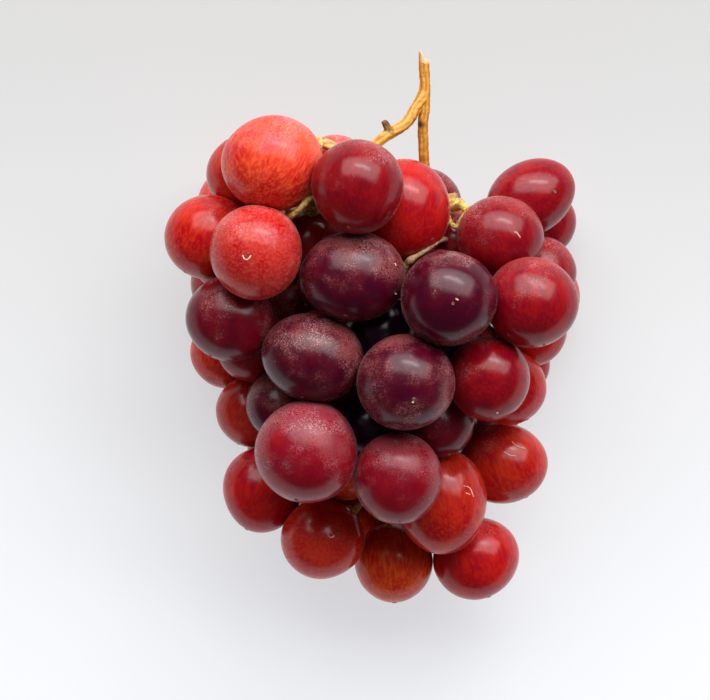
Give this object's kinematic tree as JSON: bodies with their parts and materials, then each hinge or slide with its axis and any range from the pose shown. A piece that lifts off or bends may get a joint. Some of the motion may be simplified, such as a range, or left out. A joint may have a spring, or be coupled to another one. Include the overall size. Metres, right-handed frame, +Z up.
{
  "type": "bunch of grapes",
  "caption": "Bunch of large red table grapes lying down, loosely packed round a branching woody stem with a cut end.",
  "frame": {"origin": "on the table under the middle of the bunch's box", "axes": "+Z up, away from the table; +Y along the bunch, towards the cut end of its stem"},
  "size_m": [0.1188, 0.1556, 0.0896],
  "materials": {
    "grape_skin": "ripe grape skin, dusty with bloom over a deep red gloss",
    "stem_wood": "dry ochre vine stem, grooved lengthwise"
  },
  "bodies": {
    "root": {"grapes": "grape_skin", "stem": "stem_wood"}
  },
  "joints": []
}
